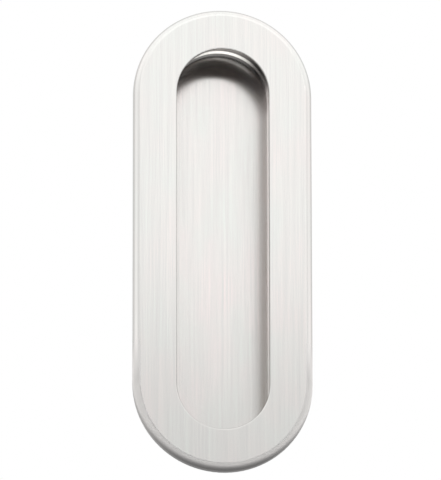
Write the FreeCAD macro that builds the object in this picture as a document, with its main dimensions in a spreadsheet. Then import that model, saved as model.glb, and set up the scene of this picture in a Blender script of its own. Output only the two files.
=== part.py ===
import FreeCAD, Part
import math
import os
import re
import Sketcher

# Oval pocket door pull, 160 x 60 mm, fixed by screws that its cover hides
#
# +Z runs up the door and -Y faces the user. The origin is the centre of the
# pull's back, in the plane of the door's face, midway between its screws.
# The cover plate stands proud of the door and the tray sinks into its pocket.

SIZES = {
    # cover plate, pressed from sheet, with a rim that stands on the door
    "plateLength": 160.0,
    "plateProud": 4.0,
    "plateSheet": 1.5,
    "plateEdgeRadius": 2.5,
    "plateBendBevel": 0.8,
    "openingWidth": 31.0,
    "openingEndRim": 14.0,
    "openingLipRadius": 0.35,
    # finger tray, drawn from thinner sheet, wider than the opening all round
    # and most of all at its ends, where the fingers curl behind the plate
    "traySetback": 1.6,
    "trayEndSetback": 3.4,
    "traySheet": 0.8,
    "trayDepth": 17.0,
    "trayDraft": 2.0,
    "trayCornerRadius": 0.75,
    "trayMouthBevel": 0.4,
    "trayFlangeWidth": 1.6,
    # nylon mounting frame under the cover plate, with a collar round the tray
    "frameTrayFit": 0.4,
    "frameRimFit": 0.3,
    "frameStepFit": 0.3,
    "frameEdgeChamfer": 1.0,
    "collarWall": 1.5,
    "collarReach": 7.0,
    "collarSlotWidth": 2.0,
    "collarSlotDepth": 5.0,
    "collarSlotPitch": 18.0,
    "collarSlotCount": 5.0,
    "gripRibRadius": 0.8,
    "gripRibPitch": 24.0,
    "gripRibCount": 3.0,
    # wood screws and their places
    "screwEndInset": 12.0,
    "screwLength": 16.0,
    "screwHeadRadius": 2.4,
    "screwHeadRim": 0.2,
    "screwShankRadius": 1.35,
    "screwNeckRadius": 1.2,
    "screwTipLength": 2.6,
    "screwTipRadius": 0.15,
    "recessArm": 1.25,
    "recessSlot": 0.3,
    "recessDepth": 0.9,
    "screwSeatFit": 0.1,
    "screwSeatWall": 0.9,
}

# Lengths that several pieces share, in the sheet's names. A half width is
# measured from the middle out, and a run is from the middle to the centre of
# an end's arc. The widths stack up from the opening: the tray, its flange, the
# land that the screws sit in, and the plate's rim, 60 mm across in all.
OPENING_HALF = "(openingWidth / 2)"
TRAY_HALF = f"({OPENING_HALF} + traySetback)"
TRAY_SHELL_HALF = f"({TRAY_HALF} + traySheet)"
TRAY_FLANGE_HALF = f"({TRAY_SHELL_HALF} + trayFlangeWidth)"
FRAME_BORE_HALF = f"({TRAY_SHELL_HALF} + frameTrayFit)"
FRAME_STEP_HALF = f"({TRAY_FLANGE_HALF} + frameStepFit)"
COLLAR_HALF = f"({FRAME_BORE_HALF} + collarWall)"
SCREW_SEAT_HALF = "(screwHeadRadius + screwHeadRim + screwSeatFit * 2)"
SCREW_ACROSS = f"({FRAME_STEP_HALF} + screwSeatWall + {SCREW_SEAT_HALF})"
FRAME_HALF = f"({SCREW_ACROSS} + {SCREW_SEAT_HALF} + screwSeatWall + frameEdgeChamfer)"
CAVITY_HALF = f"({FRAME_HALF} + frameRimFit)"
PLATE_HALF = f"({CAVITY_HALF} + plateSheet)"
PLATE_RUN = f"(plateLength / 2 - {PLATE_HALF})"
OPENING_RUN = f"(plateLength / 2 - openingEndRim - {OPENING_HALF})"
TRAY_RUN = f"({OPENING_RUN} + trayEndSetback - traySetback)"
SCREW_ALONG = f"({PLATE_RUN} - screwEndInset)"
CAVITY_DEPTH = "(plateProud - plateSheet)"
SCREW_TIP_DEPTH = f"(screwLength - {CAVITY_DEPTH} + screwSeatFit)"

TOLERANCE = 1e-4
BODIES = []


def size(text):
    """The expression with each name turned into a cell of the sheet."""
    return re.sub(r"\b([a-z]+[A-Z]\w*)", r"Sizes.\1", text)


def worth(text):
    """The expression as a number."""
    return float(FreeCAD.ActiveDocument.getObject("Sizes").evalExpression(text))


def makeSheet(doc):
    sheet = doc.addObject("Spreadsheet::Sheet", "Sizes")
    for row, (name, value) in enumerate(SIZES.items(), start=1):
        sheet.set(f"A{row}", name)
        sheet.set(f"B{row}", str(value))
        sheet.setAlias(f"B{row}", name)
    doc.recompute()


def makeBody(doc, name):
    body = doc.addObject("PartDesign::Body", name)
    body.Label = name
    BODIES.append(body)
    return body


def originPart(body, role):
    for feature in body.Origin.OriginFeatures:
        if feature.Role == role:
            return feature
    raise ValueError(f"{body.Label} has no {role}")


def makeSketch(body, name, plane, offset="0"):
    """A sketch on one of the body's planes, raised along that plane's normal."""
    sketch = body.newObject("Sketcher::SketchObject", f"{body.Label}_{name}")
    sketch.AttachmentSupport = [(originPart(body, plane), "")]
    sketch.MapMode = "FlatFace"
    sketch.setExpression("AttachmentOffset.Base.z", size(offset))
    return sketch


def bindLength(sketch, kind, places, name, expression):
    """Add a named dimension to a sketch and tie it to the sheet."""
    index = sketch.addConstraint(Sketcher.Constraint(kind, *places, worth(expression)))
    sketch.renameConstraint(index, name)
    sketch.setExpression(f"Constraints.{name}", size(expression))


def addObround(sketch, half, run):
    """A slot shape on end: two half circles joined by straight sides."""
    radius = worth(half)
    reach = worth(run)
    first = sketch.GeometryCount
    up = FreeCAD.Vector(0, 0, 1)
    top = Part.Circle(FreeCAD.Vector(0, reach, 0), up, radius)
    bottom = Part.Circle(FreeCAD.Vector(0, -reach, 0), up, radius)
    corners = [FreeCAD.Vector(x, y, 0) for x, y in (
        (-radius, reach), (-radius, -reach), (radius, -reach), (radius, reach))]
    sketch.addGeometry(Part.ArcOfCircle(top, 0, math.pi))
    sketch.addGeometry(Part.LineSegment(corners[0], corners[1]))
    sketch.addGeometry(Part.ArcOfCircle(bottom, math.pi, 2 * math.pi))
    sketch.addGeometry(Part.LineSegment(corners[2], corners[3]))
    for step in range(4):
        here = first + step
        there = first + (step + 1) % 4
        sketch.addConstraint(Sketcher.Constraint("Tangent", here, 2, there, 1))
    sketch.addConstraint(Sketcher.Constraint("Symmetric", first, 3, first + 2, 3, -1, 1))
    sketch.addConstraint(Sketcher.Constraint("PointOnObject", first, 3, -2))
    sketch.addConstraint(Sketcher.Constraint("Equal", first, first + 2))
    bindLength(sketch, "Radius", (first,), f"half{first}", half)
    bindLength(sketch, "DistanceY", (-1, 1, first, 3), f"run{first}", run)


def addOutline(sketch, corners):
    """A closed outline of straight lines through (across, along) expressions."""
    first = sketch.GeometryCount
    points = [FreeCAD.Vector(worth(x), worth(y), 0) for x, y in corners]
    count = len(points)
    for step in range(count):
        sketch.addGeometry(Part.LineSegment(points[step], points[(step + 1) % count]))
    for step, (x, y) in enumerate(corners):
        here = first + step
        before = first + (step - 1) % count
        sketch.addConstraint(Sketcher.Constraint("Coincident", before, 2, here, 1))
        if x == "0":
            sketch.addConstraint(Sketcher.Constraint("PointOnObject", here, 1, -2))
        else:
            bindLength(sketch, "DistanceX", (-1, 1, here, 1), f"x{here}", x)
        if y == "0":
            sketch.addConstraint(Sketcher.Constraint("PointOnObject", here, 1, -1))
        else:
            bindLength(sketch, "DistanceY", (-1, 1, here, 1), f"y{here}", y)


def addCircle(sketch, x, y, radius):
    here = sketch.GeometryCount
    centre = FreeCAD.Vector(worth(x), worth(y), 0)
    sketch.addGeometry(Part.Circle(centre, FreeCAD.Vector(0, 0, 1), worth(radius)))
    bindLength(sketch, "Radius", (here,), f"radius{here}", radius)
    bindLength(sketch, "DistanceX", (-1, 1, here, 3), f"x{here}", x)
    bindLength(sketch, "DistanceY", (-1, 1, here, 3), f"y{here}", y)


def addFeature(body, kind, name, sketch, length=None, reverse=False, side="One side",
               taper="0"):
    """A pad or pocket from a sketch, checked to have changed the body."""
    before = body.Shape.Volume if body.Tip else 0.0
    feature = body.newObject(f"PartDesign::{kind}", f"{body.Label}_{name}")
    feature.Profile = sketch
    feature.Reversed = reverse
    feature.SideType = side
    if length is None:
        feature.Type = "ThroughAll"
    else:
        feature.setExpression("Length", size(length))
        feature.setExpression("TaperAngle", size(taper))
    sketch.Visibility = False
    body.Document.recompute()
    if abs(feature.Shape.Volume - before) < TOLERANCE:
        raise ValueError(f"{feature.Label} changed nothing")
    return feature


def loopEdges(shape, depth, half):
    """Names of the edges that run round an obround of this half width at this depth."""
    names = []
    for index, edge in enumerate(shape.Edges, start=1):
        ends = [vertex.Point for vertex in edge.Vertexes]
        level = all(abs(point.y - depth) < TOLERANCE for point in ends)
        side = all(abs(abs(point.x) - half) < TOLERANCE for point in ends)
        if level and side and len(ends) == 2:
            names.append(f"Edge{index}")
    if not names:
        raise ValueError(f"no edges at depth {depth} and half width {half}")
    return names


def dressLoop(body, kind, name, depth, half, radius):
    """Round or bevel one obround edge of the body's last feature."""
    base = body.Tip
    edges = loopEdges(base.Shape, worth(depth), worth(half))
    feature = body.newObject(f"PartDesign::{kind}", f"{body.Label}_{name}")
    feature.Base = (base, edges)
    feature.setExpression("Radius" if kind == "Fillet" else "Size", size(radius))
    body.Document.recompute()
    return feature


def makeCoverPlate(doc):
    body = makeBody(doc, "cover_plate")
    outline = makeSketch(body, "outline", "XZ_Plane")
    addObround(outline, PLATE_HALF, PLATE_RUN)
    addFeature(body, "Pad", "blank", outline, "plateProud")
    dressLoop(body, "Fillet", "outer_edge", "-plateProud", PLATE_HALF, "plateEdgeRadius")

    cavity = makeSketch(body, "cavity", "XZ_Plane")
    addObround(cavity, CAVITY_HALF, PLATE_RUN)
    addFeature(body, "Pocket", "hollow_back", cavity, CAVITY_DEPTH, reverse=True)
    dressLoop(body, "Chamfer", "inner_bend", f"-{CAVITY_DEPTH}", CAVITY_HALF, "plateBendBevel")

    opening = makeSketch(body, "opening", "XZ_Plane")
    addObround(opening, OPENING_HALF, OPENING_RUN)
    addFeature(body, "Pocket", "finger_opening", opening, reverse=True)
    dressLoop(body, "Fillet", "opening_lip", "-plateProud", OPENING_HALF, "openingLipRadius")


def makeTray(doc):
    """A flat floor, drafted walls and a flange that is welded behind the plate."""
    body = makeBody(doc, "tray")
    shell = makeSketch(body, "shell_outline", "XZ_Plane", CAVITY_DEPTH)
    addObround(shell, TRAY_SHELL_HALF, TRAY_RUN)
    shellDepth = "trayDepth + traySheet - plateSheet"
    addFeature(body, "Pad", "shell", shell, shellDepth, reverse=True, taper="-trayDraft")

    flange = makeSketch(body, "flange_outline", "XZ_Plane", f"{CAVITY_DEPTH} - traySheet")
    addObround(flange, TRAY_FLANGE_HALF, TRAY_RUN)
    addFeature(body, "Pad", "flange", flange, "traySheet")

    bore = makeSketch(body, "bore_outline", "XZ_Plane", CAVITY_DEPTH)
    addObround(bore, TRAY_HALF, TRAY_RUN)
    addFeature(body, "Pocket", "bore", bore, "trayDepth - plateSheet", taper="-trayDraft")

    floorBack = "trayDepth + traySheet - plateProud"
    floorHalf = f"({TRAY_SHELL_HALF} - ({shellDepth}) * tan(trayDraft))"
    dressLoop(body, "Fillet", "floor_corner", floorBack, floorHalf, "trayCornerRadius")
    dressLoop(body, "Chamfer", "mouth_bevel", f"-{CAVITY_DEPTH}", TRAY_HALF,
              "trayMouthBevel")


def makeMountingFrame(doc):
    """A nylon ring that is screwed to the door; the cover presses on over it."""
    body = makeBody(doc, "mounting_frame")
    ring = makeSketch(body, "ring_outline", "XZ_Plane")
    addObround(ring, FRAME_HALF, PLATE_RUN)
    addFeature(body, "Pad", "ring", ring, CAVITY_DEPTH)
    dressLoop(body, "Chamfer", "edge_bevel", f"-{CAVITY_DEPTH}", FRAME_HALF,
              "frameEdgeChamfer")

    step = makeSketch(body, "step_outline", "XZ_Plane", CAVITY_DEPTH)
    addObround(step, FRAME_STEP_HALF, TRAY_RUN)
    addFeature(body, "Pocket", "flange_step", step, "traySheet")

    collar = makeSketch(body, "collar_outline", "XZ_Plane")
    addObround(collar, COLLAR_HALF, TRAY_RUN)
    addFeature(body, "Pad", "collar", collar, "collarReach", reverse=True)

    bore = makeSketch(body, "bore_outline", "XZ_Plane", CAVITY_DEPTH)
    addObround(bore, FRAME_BORE_HALF, TRAY_RUN)
    addFeature(body, "Pocket", "bore", bore)

    cutCollarSlots(body)
    addGripRibs(body)
    drillScrewSeats(body)


def cutCollarSlots(body):
    """Slots from the collar's edge leave springy fingers along both sides."""
    slot = makeSketch(body, "slot_outline", "YZ_Plane")
    half = "collarSlotWidth / 2"
    start = "-collarSlotPitch * (collarSlotCount - 1) / 2"
    near = "collarReach - collarSlotDepth"
    far = "collarReach + collarSlotDepth"
    addOutline(slot, [(near, f"{start} - {half}"), (far, f"{start} - {half}"),
                      (far, f"{start} + {half}"), (near, f"{start} + {half}")])
    cut = addFeature(body, "Pocket", "collar_slot", slot, f"{COLLAR_HALF} * 2 + collarWall",
                     side="Symmetric")
    repeatAlong(body, cut, "collar_slots", "collarSlotPitch", "collarSlotCount")


def addGripRibs(body):
    """Half-round ribs on the straight sides that grip the cover's rim."""
    rib = makeSketch(body, "rib_outline", "XZ_Plane")
    middle = f"({CAVITY_HALF} - gripRibRadius)"
    start = "-gripRibPitch * (gripRibCount - 1) / 2"
    addCircle(rib, middle, start, "gripRibRadius")
    addCircle(rib, f"-{middle}", start, "gripRibRadius")
    ridge = addFeature(body, "Pad", "grip_rib", rib, f"{CAVITY_DEPTH} - frameEdgeChamfer")
    repeatAlong(body, ridge, "grip_ribs", "gripRibPitch", "gripRibCount")


def repeatAlong(body, feature, name, pitch, count):
    pattern = body.newObject("PartDesign::LinearPattern", f"{body.Label}_{name}")
    pattern.Originals = [feature]
    pattern.Direction = (originPart(body, "Z_Axis"), [""])
    pattern.Mode = "Spacing"
    pattern.setExpression("Offset", size(pitch))
    pattern.setExpression("Occurrences", size(count))
    body.Tip = pattern
    body.Document.recompute()
    return pattern


def drillScrewSeats(body):
    """Four countersunk holes, with the seats on the side away from the door."""
    holes = makeSketch(body, "hole_centres", "XZ_Plane", CAVITY_DEPTH)
    for side in ("", "-"):
        for end in ("", "-"):
            addCircle(holes, side + SCREW_ACROSS, end + SCREW_ALONG,
                      "screwShankRadius + screwSeatFit")
    drilled = body.newObject("PartDesign::Hole", f"{body.Label}_screw_seats")
    drilled.Profile = holes
    body.Document.recompute()
    drilled.ThreadType = "None"
    drilled.DepthType = "ThroughAll"
    drilled.setExpression("Diameter", size("(screwShankRadius + screwSeatFit) * 2"))
    drilled.HoleCutType = "Countersink"
    drilled.HoleCutCustomValues = True
    drilled.setExpression("HoleCutDiameter", size(f"{SCREW_SEAT_HALF} * 2"))
    drilled.HoleCutCountersinkAngle = 90
    before = drilled.BaseFeature.Shape.Volume
    body.Document.recompute()
    if before - drilled.Shape.Volume < 4 * TOLERANCE:
        raise ValueError("the screw seats cut nothing")


def makeScrew(doc, name, side, end):
    """A countersunk wood screw, modelled with its tip at the origin, head up.

    Its neck passes through the frame, and the full shank starts at the door.
    """
    body = makeBody(doc, name)
    profile = makeSketch(body, "profile", "XZ_Plane")
    addOutline(profile, [
        ("0", "0"),
        ("screwTipRadius", "0"),
        ("screwShankRadius", "screwTipLength"),
        ("screwShankRadius", SCREW_TIP_DEPTH),
        ("screwNeckRadius", SCREW_TIP_DEPTH),
        ("screwNeckRadius", "screwLength - screwHeadRim - screwHeadRadius + screwNeckRadius"),
        ("screwHeadRadius", "screwLength - screwHeadRim"),
        ("screwHeadRadius", "screwLength"),
        ("0", "screwLength"),
    ])
    turned = body.newObject("PartDesign::Revolution", f"{name}_shank_and_head")
    turned.Profile = profile
    turned.ReferenceAxis = (profile, ["V_Axis"])
    turned.Angle = 360
    doc.recompute()

    recess = makeSketch(body, "recess_outline", "XY_Plane", "screwLength")
    addOutline(recess, crossCorners("recessArm", "recessSlot"))
    addFeature(body, "Pocket", "cross_recess", recess, "recessDepth")

    body.Placement = FreeCAD.Placement(
        FreeCAD.Vector(0, 0, 0), FreeCAD.Rotation(FreeCAD.Vector(1, 0, 0), 90))
    body.setExpression("Placement.Base.x", size(side + SCREW_ACROSS))
    body.setExpression("Placement.Base.y", size(SCREW_TIP_DEPTH))
    body.setExpression("Placement.Base.z", size(end + SCREW_ALONG))


def crossCorners(arm, slot):
    """The twelve corners of a cross, anticlockwise from its right arm."""
    return [
        (arm, f"-{slot}"), (arm, slot), (slot, slot),
        (slot, arm), (f"-{slot}", arm), (f"-{slot}", slot),
        (f"-{arm}", slot), (f"-{arm}", f"-{slot}"), (f"-{slot}", f"-{slot}"),
        (f"-{slot}", f"-{arm}"), (slot, f"-{arm}"), (slot, f"-{slot}"),
    ]


def checkAll(doc):
    for item in doc.Objects:
        if "Invalid" in item.State or "Error" in item.State:
            raise ValueError(f"{item.Label} failed: {item.State}")
    for body in BODIES:
        if body.Shape.isNull() or not body.Shape.isValid():
            raise ValueError(f"{body.Label} has no valid shape")
        if len(body.Shape.Solids) != 1:
            raise ValueError(f"{body.Label} has {len(body.Shape.Solids)} solids")


def writeParts():
    os.makedirs("parts", exist_ok=True)
    for body in BODIES:
        body.Shape.exportStep(f"parts/{body.Label}.step")
        box = body.Shape.BoundBox
        print(f"{body.Label}: {body.Shape.Volume:.0f} mm3, "
              f"y {box.YMin:.2f} to {box.YMax:.2f}, {box.XLength:.1f} x {box.ZLength:.1f}")


def main():
    doc = FreeCAD.newDocument("pocket_door_pull")
    makeSheet(doc)
    makeCoverPlate(doc)
    makeTray(doc)
    makeMountingFrame(doc)
    for side, across in (("left", "-"), ("right", "")):
        for end, along in (("bottom", "-"), ("top", "")):
            makeScrew(doc, f"screw_{end}_{side}", across, along)
    doc.recompute()
    checkAll(doc)
    writeParts()


main()
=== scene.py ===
import math

import bmesh
import bpy
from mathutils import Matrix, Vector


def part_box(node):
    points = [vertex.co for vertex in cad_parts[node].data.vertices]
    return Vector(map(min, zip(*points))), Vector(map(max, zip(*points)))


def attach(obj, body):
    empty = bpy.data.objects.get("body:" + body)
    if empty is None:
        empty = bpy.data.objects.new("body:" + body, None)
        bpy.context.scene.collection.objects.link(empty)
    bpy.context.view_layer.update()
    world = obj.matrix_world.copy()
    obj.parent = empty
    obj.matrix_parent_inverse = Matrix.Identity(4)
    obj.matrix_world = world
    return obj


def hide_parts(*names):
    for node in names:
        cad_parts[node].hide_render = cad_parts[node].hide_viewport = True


mm = 0.001

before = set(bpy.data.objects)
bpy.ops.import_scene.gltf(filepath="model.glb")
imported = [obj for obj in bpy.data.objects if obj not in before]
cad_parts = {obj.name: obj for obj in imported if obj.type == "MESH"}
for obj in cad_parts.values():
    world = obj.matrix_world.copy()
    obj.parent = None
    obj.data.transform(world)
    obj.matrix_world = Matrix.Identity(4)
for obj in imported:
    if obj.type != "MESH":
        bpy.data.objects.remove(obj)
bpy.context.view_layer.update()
print("frame loaded:", ", ".join(sorted(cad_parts)))


# small helpers for node trees

def addNode(tree, kind, **values):
    node = tree.nodes.new(kind)
    for name, value in values.items():
        setattr(node, name, value)
    return node


def newMaterial(name):
    material = bpy.data.materials.new(name)
    material.use_nodes = True
    return material, material.node_tree, material.node_tree.nodes["Principled BSDF"]


def marks(tree, pattern):
    # object coordinates are metres of the door pull itself, so a pattern has marks per metre
    place = addNode(tree, "ShaderNodeTexCoord")
    mapping = addNode(tree, "ShaderNodeMapping")
    mapping.inputs["Scale"].default_value = pattern["perMetre"]
    tree.links.new(place.outputs["Object"], mapping.inputs["Vector"])
    texture = addNode(tree, "ShaderNodeTexNoise")
    texture.inputs["Scale"].default_value = 1.0
    texture.inputs["Detail"].default_value = pattern["detail"]
    texture.inputs["Roughness"].default_value = pattern["rough"]
    tree.links.new(mapping.outputs["Vector"], texture.inputs["Vector"])
    return texture.outputs["Fac"]


def addBump(tree, shader, height, bumps):
    bump = addNode(tree, "ShaderNodeBump")
    bump.inputs["Strength"].default_value = bumps["strength"]
    bump.inputs["Distance"].default_value = bumps["depth"]
    tree.links.new(height, bump.inputs["Height"])
    tree.links.new(bump.outputs["Normal"], shader.inputs["Normal"])


def ranged(tree, value, low, high, toLow=0.0, toHigh=1.0):
    spread = addNode(tree, "ShaderNodeMapRange")
    limits = {"From Min": low, "From Max": high, "To Min": toLow, "To Max": toHigh}
    for name, number in limits.items():
        spread.inputs[name].default_value = number
    tree.links.new(value, spread.inputs["Value"])
    return spread.outputs["Result"]


def calc(tree, operation, first, second):
    node = addNode(tree, "ShaderNodeMath", operation=operation)
    for socket, value in zip(node.inputs, (first, second)):
        if isinstance(value, (int, float)):
            socket.default_value = value
        else:
            tree.links.new(value, socket)
    return node.outputs["Value"]


def blended(tree, share, first, second):
    mixer = addNode(tree, "ShaderNodeMix", data_type="RGBA", blend_type="MIX")
    sockets = (mixer.inputs["Factor"], mixer.inputs[6], mixer.inputs[7])
    for socket, value in zip(sockets, (share, first, second)):
        if isinstance(value, bpy.types.NodeSocket):
            tree.links.new(value, socket)
        elif isinstance(value, (int, float)):
            socket.default_value = value
        else:
            socket.default_value = (*value, 1.0)
    return mixer.outputs[2]


# satin stainless, brushed along the pull

# set by trial against the photo; the shade, back, wall and rim values have no known cause in the steel, and
# the shade and back colours are painted shade
coverFinish = {
    "colour": (0.80, 0.785, 0.765),
    "streakColour": (0.71, 0.70, 0.685),
    "warmCast": (0.83, 0.77, 0.75),
    "coolCast": (0.77, 0.795, 0.76),
    "backColour": (0.36, 0.265, 0.205),     # brown painted shade: the back mirrored in the recess gives the dark patch its tone
    "shadeColour": (0.20, 0.19, 0.18),       # painted shade on the opening's edge, a dark line in the photo
    "brightDepth": (-9.0 * mm, -8.0 * mm, -3.99 * mm, -3.8 * mm),     # no painted shade between these depths
    "shadeFrom": (-40.0 * mm, -39.0 * mm),   # painted shade from this height past the slot's centres, here all the way round
    "wallFacing": (-2.0 * mm, -10.0 * mm),  # full where a face looks straight at the slot's middle
    "spineHalf": 50.5 * mm,
    "roughness": (0.16, 0.21),
    "wallPolish": 0.0,
    "backRoughness": 0.5,
    "metal": 1.0,
}

# the brush marks, the same on the cover plate and the tray
brushing = {
    "fineMarks": {"perMetre": (5200.0, 5200.0, 55.0), "detail": 4.0, "rough": 0.7},
    "fineShare": 0.6,
    "longMarks": {"perMetre": (1144.0, 1144.0, 16.5), "detail": 2.0, "rough": 0.5},
    "longShare": 0.4,
    "clouds": {"perMetre": (90.0, 90.0, 45.0), "detail": 2.0, "rough": 0.5},
    "streakRange": (0.36, 0.64),    # of the grain, from the streaks' colour to the cast
    "castRange": (0.35, 0.65),      # of the clouds, from warm to cool
    "polishRange": (0.3, 0.7),      # of the grain, from rough to smooth
    "plainShare": 0.3,              # of the plain colour over streaks and casts
    "backTurn": (0.55, 0.65),       # how squarely a face looks at the door, full at the second
    "bumps": {"strength": 0.35, "depth": 0.004 * mm},
    "anisotropy": 0.8,
}

# the rim round the foot, rough, with painted shade that grows darker downwards for the photo's soft lower
# edge
footRim = {
    "colour": (0.86, 0.845, 0.83),
    "footShadeColour": (0.60, 0.59, 0.585),
    "roughness": 0.8,
    "height": (-52.0 * mm, -34.0 * mm),           # on the pull, full below the first
    "roughTurn": (0.0, 6.0 * mm),                 # how far the face has turned outward
    "lowestHeight": (-27.0 * mm, -15.0 * mm),     # from the slot's lower centre, full below the first
    "lowestTurn": (1.0 * mm, 26.0 * mm),
}


def fromSpine(tree, run):
    # the vector out from the line that joins the centres of a slot's round ends
    place = addNode(tree, "ShaderNodeTexCoord")
    parts = addNode(tree, "ShaderNodeSeparateXYZ")
    tree.links.new(place.outputs["Object"], parts.inputs["Vector"])
    distance = calc(tree, "ABSOLUTE", parts.outputs["Z"], 0.0)
    past = calc(tree, "MAXIMUM", calc(tree, "SUBTRACT", distance, run), 0.0)
    upOrDown = calc(tree, "SIGN", parts.outputs["Z"], 0.0)
    outward = addNode(tree, "ShaderNodeCombineXYZ")
    tree.links.new(parts.outputs["X"], outward.inputs["X"])
    tree.links.new(calc(tree, "MULTIPLY", past, upOrDown), outward.inputs["Z"])
    return outward.outputs["Vector"], parts.outputs["Y"], parts.outputs["Z"]


def makeSatinSteel(name, finish):
    material, tree, shader = newMaterial(name)
    fine = calc(tree, "MULTIPLY", marks(tree, brushing["fineMarks"]), brushing["fineShare"])
    long = calc(tree, "MULTIPLY", marks(tree, brushing["longMarks"]), brushing["longShare"])
    grain = calc(tree, "ADD", fine, long)
    streak = ranged(tree, grain, *brushing["streakRange"])
    cast = ranged(tree, marks(tree, brushing["clouds"]), *brushing["castRange"])
    tinted = blended(tree, cast, finish["warmCast"], finish["coolCast"])
    face = blended(tree, streak, finish["streakColour"], tinted)
    face = blended(tree, brushing["plainShare"], face, finish["colour"])

    # edges and walls that face the middle of the slot get painted shade outside a band of depths
    outward, depth, height = fromSpine(tree, finish["spineHalf"])
    geometry = addNode(tree, "ShaderNodeNewGeometry")
    inward = addNode(tree, "ShaderNodeVectorMath", operation="DOT_PRODUCT")
    tree.links.new(geometry.outputs["Normal"], inward.inputs[0])
    tree.links.new(outward, inward.inputs[1])
    turn = inward.outputs["Value"]
    isWall = ranged(tree, turn, *finish["wallFacing"])
    beforeBand = ranged(tree, depth, *finish["brightDepth"][:2], 1.0, 0.0)
    afterBand = ranged(tree, depth, *finish["brightDepth"][2:])
    offBand = calc(tree, "MAXIMUM", beforeBand, afterBand)
    ends = addNode(tree, "ShaderNodeSeparateXYZ")
    tree.links.new(outward, ends.inputs["Vector"])
    isEnd = ranged(tree, ends.outputs["Z"], *finish["shadeFrom"])
    isShaded = calc(tree, "MULTIPLY", calc(tree, "MULTIPLY", isWall, offBand), isEnd)
    # painted shade: the masked walls take the dark shade colour
    colour = blended(tree, isShaded, face, finish["shadeColour"])

    # painted shade round the foot: the rim takes its own colour, then darker still towards the lowest edge
    isFoot = ranged(tree, height, *footRim["height"], 1.0, 0.0)
    isRim = calc(tree, "MULTIPLY", isFoot, ranged(tree, turn, *footRim["roughTurn"]))
    colour = blended(tree, isRim, colour, footRim["colour"])
    isLowest = ranged(tree, ends.outputs["Z"], *footRim["lowestHeight"], 1.0, 0.0)
    isUnder = calc(tree, "MULTIPLY", isLowest, ranged(tree, turn, *footRim["lowestTurn"]))
    colour = blended(tree, isUnder, colour, footRim["footShadeColour"])

    # the side that faces the door has its own colour and is rougher; on the cover plate that colour is
    # painted shade for the dark patch in the recess
    parts = addNode(tree, "ShaderNodeSeparateXYZ")
    tree.links.new(geometry.outputs["True Normal"], parts.inputs["Vector"])
    isBack = ranged(tree, parts.outputs["Y"], *brushing["backTurn"])
    tree.links.new(blended(tree, isBack, colour, finish["backColour"]), shader.inputs["Base Color"])

    smooth, coarse = finish["roughness"]
    rough = ranged(tree, grain, *brushing["polishRange"], coarse, smooth)
    changes = (
        (isWall, finish["wallPolish"]),
        (isRim, footRim["roughness"] - smooth),
        (isBack, finish["backRoughness"] - smooth),
    )
    for mask, change in changes:
        rough = calc(tree, "ADD", rough, calc(tree, "MULTIPLY", mask, change))
    tree.links.new(rough, shader.inputs["Roughness"])
    addBump(tree, shader, grain, brushing["bumps"])

    # the grain runs up the pull, so reflections spread sideways
    sideways = addNode(tree, "ShaderNodeCombineXYZ")
    sideways.inputs["X"].default_value = 1.0
    tree.links.new(sideways.outputs["Vector"], shader.inputs["Tangent"])
    shader.inputs["Metallic"].default_value = finish["metal"]
    shader.inputs["Anisotropic"].default_value = brushing["anisotropy"]
    return material


coverSteel = makeSatinSteel("coverSatinSteel", coverFinish)

trayFinish = {
    "colour": (0.835, 0.81, 0.79),
    "streakColour": (0.745, 0.73, 0.715),
    "warmCast": (0.885, 0.805, 0.79),
    "coolCast": (0.795, 0.83, 0.79),
    "backColour": (0.42, 0.405, 0.39),
    "shadeColour": (0.026, 0.022, 0.019),    # painted shade, nearly black, so that the bright band draws the crescent
    "brightDepth": (7.8 * mm, 8.4 * mm, 10.5 * mm, 10.8 * mm),
    "shadeFrom": (3.0 * mm, 10.0 * mm),      # painted shade only round the upper end
    "wallFacing": (-1.5 * mm, -4.5 * mm),
    "spineHalf": 52.3 * mm,
    "roughness": (0.165, 0.215),
    "wallPolish": -0.10,                    # for a crisper crescent over a soft floor
    "backRoughness": 0.42,
    "metal": 0.92,                          # the rest is plain haze, which lifts the dark patch
}

traySteel = makeSatinSteel("traySatinSteel", trayFinish)
print("satin steel ready for the cover plate and the tray")


# moulded nylon of the mounting frame

mouldedNylon = {
    "colour": (0.045, 0.046, 0.05),
    "paleSpeck": (0.075, 0.076, 0.08),
    "pebbles": {"perMetre": (2600.0, 2600.0, 2600.0), "detail": 3.0, "rough": 0.6},
    "speckRange": (0.45, 0.75),     # of the pebbles, from the colour to the pale speck
    "flow": {"perMetre": (70.0, 70.0, 30.0), "detail": 2.0, "rough": 0.5},
    "flowRange": (0.3, 0.7),        # of the flow, from smooth to rough
    "roughness": (0.42, 0.6),
    "bumps": {"strength": 0.4, "depth": 0.02 * mm},
}


def makeMouldedNylon(name, finish):
    material, tree, shader = newMaterial(name)
    pebbles = marks(tree, finish["pebbles"])
    speck = ranged(tree, pebbles, *finish["speckRange"])
    tree.links.new(blended(tree, speck, finish["colour"], finish["paleSpeck"]), shader.inputs["Base Color"])
    rough = ranged(tree, marks(tree, finish["flow"]), *finish["flowRange"], *finish["roughness"])
    tree.links.new(rough, shader.inputs["Roughness"])
    addBump(tree, shader, pebbles, finish["bumps"])
    return material


frameNylon = makeMouldedNylon("frameNylon", mouldedNylon)

for nodeName, material in (("cover_plate", coverSteel), ("tray", traySteel), ("mounting_frame", frameNylon)):
    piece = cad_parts[nodeName]
    piece.data.materials.clear()
    piece.data.materials.append(material)
print("nylon ready, finishes laid on the cover plate, tray and frame")


# zinc plated wood screws with a helical thread

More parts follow.
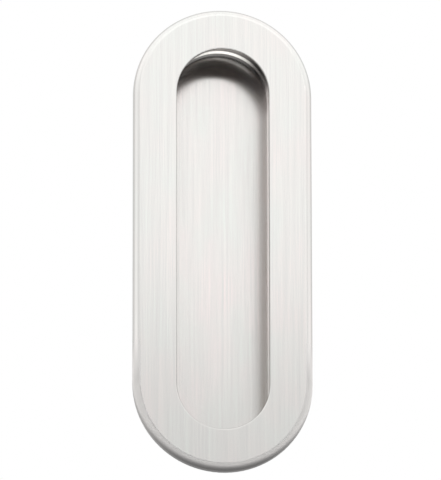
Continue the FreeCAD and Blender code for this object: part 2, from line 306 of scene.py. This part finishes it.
woodScrew = {
    "headRadius": 2.4 * mm,
    "headRim": 0.2 * mm,
    "headBevel": 0.05 * mm,
    "neckRadius": 1.2 * mm,
    "neckRound": 0.06 * mm,
    "neckTaper": 0.25 * mm,       # down to the thread's core
    "coreRadius": 0.95 * mm,
    "crestRadius": 1.33 * mm,
    "tipRadius": 0.15 * mm,
    "tipLength": 2.6 * mm,
    "length": 16.0 * mm,
    "threadPitch": 1.25 * mm,
    "threadStart": 2.7 * mm,      # from the top of the head
    "threadFade": 1.6,            # more keeps the thread high nearer to the tip
    "recessArm": 1.25 * mm,
    "recessSlot": 0.3 * mm,
    "recessDepth": 0.9 * mm,
    "recessFoot": (0.42, 0.8),    # shares of arm and slot that are left at the foot
    "recessAbove": 0.1 * mm,      # how far the cutter stands proud of the head
    "recessMouth": 1.06,          # share of arm and slot there
    "zinc": (0.62, 0.60, 0.54),
    "zincGlow": (0.66, 0.585, 0.44),
    "haze": {"perMetre": (900.0, 900.0, 900.0), "detail": 3.0, "rough": 0.6},
    "glowRange": (0.4, 0.65),     # of the haze, from zinc to its glow
    "roughRange": (0.3, 0.7),
    "roughness": (0.24, 0.38),
    "bumps": {"strength": 0.25, "depth": 0.01 * mm},
}


def makeZinc(name, finish):
    material, tree, shader = newMaterial(name)
    haze = marks(tree, finish["haze"])
    tint = ranged(tree, haze, *finish["glowRange"])
    tree.links.new(blended(tree, tint, finish["zinc"], finish["zincGlow"]), shader.inputs["Base Color"])
    rough = ranged(tree, haze, *finish["roughRange"], *finish["roughness"])
    tree.links.new(rough, shader.inputs["Roughness"])
    addBump(tree, shader, haze, finish["bumps"])
    shader.inputs["Metallic"].default_value = 1.0
    return material


zincPlate = makeZinc("zincPlate", woodScrew)
threadShape = (0.0, 0.0, 0.0, 0.1, 0.75, 1.0, 0.75, 0.1)      # one pitch: root, flank, crest, flank
aroundScrew = 28
mergeDistance = 0.002 * mm
tinyEdge = 0.001 * mm
sharpAngle = math.radians(32)


def coneShare(screw, along):
    # how much of the shank's width is left at a distance from the head
    toTip = screw["length"] - along
    return min(1.0, max(0.0, toTip / screw["tipLength"]))


def addThreadedShank(mesh, screw):
    steps = len(threadShape)
    turns = (screw["length"] - screw["threadStart"]) / screw["threadPitch"] + 1
    rows = int(turns * steps) + 1
    grid = []
    for row in range(rows + steps):
        ring = []
        for column in range(aroundScrew):
            turn = column / aroundScrew
            along = screw["threadStart"] + ((row / steps) + turn - 1) * screw["threadPitch"]
            along = min(max(along, screw["threadStart"]), screw["length"])
            share = coneShare(screw, along)
            core = screw["tipRadius"] + (screw["coreRadius"] - screw["tipRadius"]) * share
            rise = (screw["crestRadius"] - screw["coreRadius"]) * min(1.0, share * screw["threadFade"])
            rise *= min(1.0, (along - screw["threadStart"]) / screw["threadPitch"])
            radius = core + rise * threadShape[row % steps]
            angle = 2 * math.pi * turn
            ring.append(mesh.verts.new((radius * math.cos(angle), along, radius * math.sin(angle))))
        grid.append(ring)
    for row in range(rows - 1):
        for column in range(aroundScrew):
            wrap = column == aroundScrew - 1
            nextRow, nextColumn = (row + steps, 0) if wrap else (row, column + 1)
            corners = (grid[row][column], grid[nextRow][nextColumn],
                       grid[nextRow + 1][nextColumn], grid[row + 1][column])
            mesh.faces.new(corners)


def addTurnedHead(mesh, screw):
    # half of the head's section, a cone of 90 degrees under a thin rim
    headRadius, rim, bevel = screw["headRadius"], screw["headRim"], screw["headBevel"]
    neckRadius, rounding = screw["neckRadius"], screw["neckRound"]
    coneFoot = rim + headRadius - neckRadius
    neckFoot = screw["threadStart"]
    outline = ((0.0, 0.0), (headRadius / 2, 0.0), (headRadius - bevel, 0.0),
               (headRadius, bevel), (headRadius, rim),
               (neckRadius + rounding, coneFoot - rounding), (neckRadius, coneFoot + rounding),
               (neckRadius, neckFoot - screw["neckTaper"]),
               (screw["coreRadius"], neckFoot), (0.0, neckFoot))
    rings = []
    for radius, along in outline:
        ring = []
        for column in range(aroundScrew):
            angle = 2 * math.pi * column / aroundScrew
            ring.append(mesh.verts.new((radius * math.cos(angle), along, radius * math.sin(angle))))
        rings.append(ring)
    for upper, lower in zip(rings, rings[1:]):
        for column in range(aroundScrew):
            beside = (column + 1) % aroundScrew
            mesh.faces.new((upper[column], upper[beside], lower[beside], lower[column]))


def shadedData(name, mesh):
    data = bpy.data.meshes.new(name)
    mesh.to_mesh(data)
    mesh.free()
    data.shade_smooth()
    data.set_sharp_from_angle(angle=sharpAngle)
    return data


def meshPiece(name, fill, screw):
    mesh = bmesh.new()
    fill(mesh, screw)
    bmesh.ops.remove_doubles(mesh, verts=mesh.verts, dist=mergeDistance)
    bmesh.ops.dissolve_degenerate(mesh, edges=mesh.edges, dist=tinyEdge)
    bmesh.ops.recalc_face_normals(mesh, faces=mesh.faces)
    piece = bpy.data.objects.new(name, shadedData(name, mesh))
    bpy.context.scene.collection.objects.link(piece)
    return piece


def addCrossCutter(mesh, screw):
    # a cross that narrows towards its foot, a little proud of the head so the cut is clean
    mouth = screw["recessMouth"]
    levels = ((-screw["recessAbove"], mouth, mouth), (screw["recessDepth"], *screw["recessFoot"]))
    for turn in (0, 1):
        corners = []
        for along, armShare, slotShare in levels:
            arm, slot = screw["recessArm"] * armShare, screw["recessSlot"] * slotShare
            for x, z in ((-arm, -slot), (arm, -slot), (arm, slot), (-arm, slot)):
                corners.append(mesh.verts.new((z, along, x) if turn else (x, along, z)))
        faces = ((0, 1, 2, 3), (7, 6, 5, 4), (0, 4, 5, 1), (1, 5, 6, 2), (2, 6, 7, 3), (3, 7, 4, 0))
        for face in faces:
            mesh.faces.new([corners[i] for i in face])


def screwBlank(screw):
    # head with its cross recess, then the shank, joined into one mesh
    head = meshPiece("headBlank", addTurnedHead, screw)
    cutters = meshPiece("crossCutter", addCrossCutter, screw)
    cut = head.modifiers.new("crossRecess", "BOOLEAN")
    cut.operation = "DIFFERENCE"
    cut.solver = "EXACT"
    cut.use_self = True
    cut.object = cutters
    shank = meshPiece("shankBlank", addThreadedShank, screw)
    graph = bpy.context.evaluated_depsgraph_get()
    joined = bmesh.new()
    for part in (head, shank):
        joined.from_mesh(part.evaluated_get(graph).to_mesh())
        part.evaluated_get(graph).to_mesh_clear()
    for part in (head, cutters, shank):
        bpy.data.objects.remove(part, do_unlink=True)
    return shadedData("woodScrew", joined)


screwMesh = screwBlank(woodScrew)
screwMesh.materials.append(zincPlate)
for nodeName in ("screw_bottom_left", "screw_bottom_right", "screw_top_left", "screw_top_right"):
    low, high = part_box(nodeName)
    screw = bpy.data.objects.new(nodeName + "_threaded", screwMesh.copy())
    bpy.context.scene.collection.objects.link(screw)
    screw.location = ((low.x + high.x) / 2, low.y, (low.z + high.z) / 2)
    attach(screw, "root")
    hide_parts(nodeName)
print("four threaded screws stand in the frame")


# soft studio, its levels, cards and lamp set by trial against the reflections in the photo

studio = {
    "softLight": {"from": 8.0, "to": 42.0, "level": 1.04},     # heights in degrees above the horizon
    "tableLevel": 0.875,
    "tableEnd": (-55.0, -24.0),
    "underLevel": 0.07,                                        # below the table's end
    "sideLight": {"from": 25.0, "to": 60.0, "level": 0.2},     # degrees away from straight ahead
    "behind": {"from": 88.0, "to": 118.0, "share": 0.68},      # the darker half behind the pull

    # a bright patch of the table and two dark cards, in degrees as well
    "tableGlow": {"height": -26.0, "side": 6.0, "size": 18.0, "soft": 8.0, "level": 1.2},
    "frontCard": {"height": -3.0, "side": 0.0, "size": 14.5, "soft": 2.5},
    "sideCard": {"height": 1.0, "side": -21.0, "size": 8.0, "soft": 8.0},
    "cardDarkness": 0.97,

    "nearLamp": {"place": (0.1, -1.2, 0.758), "tilt": 62.0, "size": (1.3, 0.9), "power": 1.0},
    "floorColour": (0.80, 0.80, 0.79),
    "floorRoughness": 0.9,
    "floorHeight": -2.7,
    "floorSize": 9.0,
}


def sine(degrees):
    return math.sin(math.radians(degrees))


def cosine(degrees):
    return math.cos(math.radians(degrees))


def towards(tree, place, direction):
    facing = addNode(tree, "ShaderNodeVectorMath", operation="DOT_PRODUCT")
    facing.inputs[1].default_value = direction
    tree.links.new(place, facing.inputs[0])
    return facing.outputs["Value"]


def softRange(tree, value, low, high, toLow, toHigh):
    result = ranged(tree, value, low, high, toLow, toHigh)
    result.node.interpolation_type = "SMOOTHSTEP"
    return result


def roundPatch(tree, place, patch, level):
    # a round patch of the room, seen from the pull; its side runs from the pull's left to its right
    height, side = patch["height"], patch["side"]
    direction = (sine(side) * cosine(height), -cosine(side) * cosine(height), sine(height))
    edge = cosine(patch["size"] + patch["soft"])
    return softRange(tree, towards(tree, place, direction), edge, cosine(patch["size"]), 0.0, level)


def lightStudio(room):
    world = bpy.data.worlds.new("softStudio")
    bpy.context.scene.world = world
    world.use_nodes = True
    tree = world.node_tree
    tree.nodes.clear()
    place = addNode(tree, "ShaderNodeTexCoord").outputs["Generated"]
    height = towards(tree, place, (0.0, 0.0, 1.0))
    ahead = towards(tree, place, (0.0, -1.0, 0.0))

    tableFoot, tableTop = room["tableEnd"]
    table = softRange(tree, height, sine(tableFoot), sine(tableTop), room["underLevel"], room["tableLevel"])
    above = room["softLight"]
    gain = above["level"] - room["tableLevel"]
    rise = softRange(tree, height, sine(above["from"]), sine(above["to"]), 0.0, gain)
    beside = room["sideLight"]
    flank = softRange(tree, ahead, cosine(beside["to"]), cosine(beside["from"]), beside["level"], 0.0)
    level = calc(tree, "ADD", calc(tree, "ADD", table, rise), flank)

    rear = room["behind"]
    kept = softRange(tree, ahead, cosine(rear["to"]), cosine(rear["from"]), rear["share"], 1.0)
    level = calc(tree, "MULTIPLY", level, kept)
    glow = roundPatch(tree, place, room["tableGlow"], room["tableGlow"]["level"])
    level = calc(tree, "ADD", level, glow)
    for card in ("frontCard", "sideCard"):
        shade = roundPatch(tree, place, room[card], room["cardDarkness"])
        level = calc(tree, "MULTIPLY", level, calc(tree, "SUBTRACT", 1.0, shade))

    roomLight = addNode(tree, "ShaderNodeBackground")
    roomLight.inputs["Color"].default_value = (1.0, 1.0, 1.0, 1.0)
    tree.links.new(level, roomLight.inputs["Strength"])
    white = addNode(tree, "ShaderNodeBackground")
    white.inputs["Color"].default_value = (1.0, 1.0, 1.0, 1.0)

    # the backdrop is plain white to the camera and through glass
    rays = addNode(tree, "ShaderNodeLightPath")
    direct = calc(tree, "MAXIMUM", rays.outputs["Is Camera Ray"], rays.outputs["Is Transmission Ray"])
    backdrop = addNode(tree, "ShaderNodeMixShader")
    tree.links.new(direct, backdrop.inputs["Fac"])
    tree.links.new(roomLight.outputs["Background"], backdrop.inputs[1])
    tree.links.new(white.outputs["Background"], backdrop.inputs[2])
    output = addNode(tree, "ShaderNodeOutputWorld")
    tree.links.new(backdrop.outputs["Shader"], output.inputs["Surface"])


def hangLamp(lamp):
    # a lamp close by, bright on the head, whose lower edge lets the face fade towards its foot
    light = bpy.data.lights.new("nearLamp", "AREA")
    light.shape = "RECTANGLE"
    light.size, light.size_y = lamp["size"]
    light.energy = lamp["power"]
    holder = bpy.data.objects.new("nearLamp", light)
    bpy.context.scene.collection.objects.link(holder)
    holder.location = lamp["place"]
    holder.rotation_euler = (math.radians(lamp["tilt"]), 0.0, 0.0)
    holder.visible_camera = False


def layFloor(room):
    half = room["floorSize"] / 2
    mesh = bmesh.new()
    outline = ((-half, -half), (half, -half), (half, half), (-half, half))
    mesh.faces.new([mesh.verts.new((x, y, 0)) for x, y in outline])
    data = bpy.data.meshes.new("studioFloor")
    mesh.to_mesh(data)
    mesh.free()
    floor = bpy.data.objects.new("studioFloor", data)
    bpy.context.scene.collection.objects.link(floor)
    floor.location.z = room["floorHeight"]
    floor.visible_glossy = False      # the metal mirrors the soft light, not the floor far below
    material, tree, shader = newMaterial("studioFloorPaint")
    shader.inputs["Base Color"].default_value = (*room["floorColour"], 1.0)
    shader.inputs["Roughness"].default_value = room["floorRoughness"]
    data.materials.append(material)


lightStudio(studio)
hangLamp(studio["nearLamp"])
layFloor(studio)
print("soft studio lit, pale floor laid")


# camera a little below the pull and to its left, far enough away for a flat view

viewpoint = {
    "location": (-0.22257, -2.29788, -0.66976),
    "rotation": (106.1826, 0.0745, -5.4977),
    "lens": 539.861,
    "sensorWidth": 36.0,
    "clip": (0.05, 60.0),
}

camera = bpy.data.objects.new("photoCamera", bpy.data.cameras.new("photoCamera"))
bpy.context.scene.collection.objects.link(camera)
camera.location = viewpoint["location"]
camera.rotation_euler = [math.radians(angle) for angle in viewpoint["rotation"]]
camera.data.sensor_width = viewpoint["sensorWidth"]
camera.data.lens = viewpoint["lens"]
camera.data.clip_start, camera.data.clip_end = viewpoint["clip"]
bpy.context.scene.camera = camera
bpy.context.scene.view_settings.view_transform = "Standard"
print("camera set")

print("door pull finished")
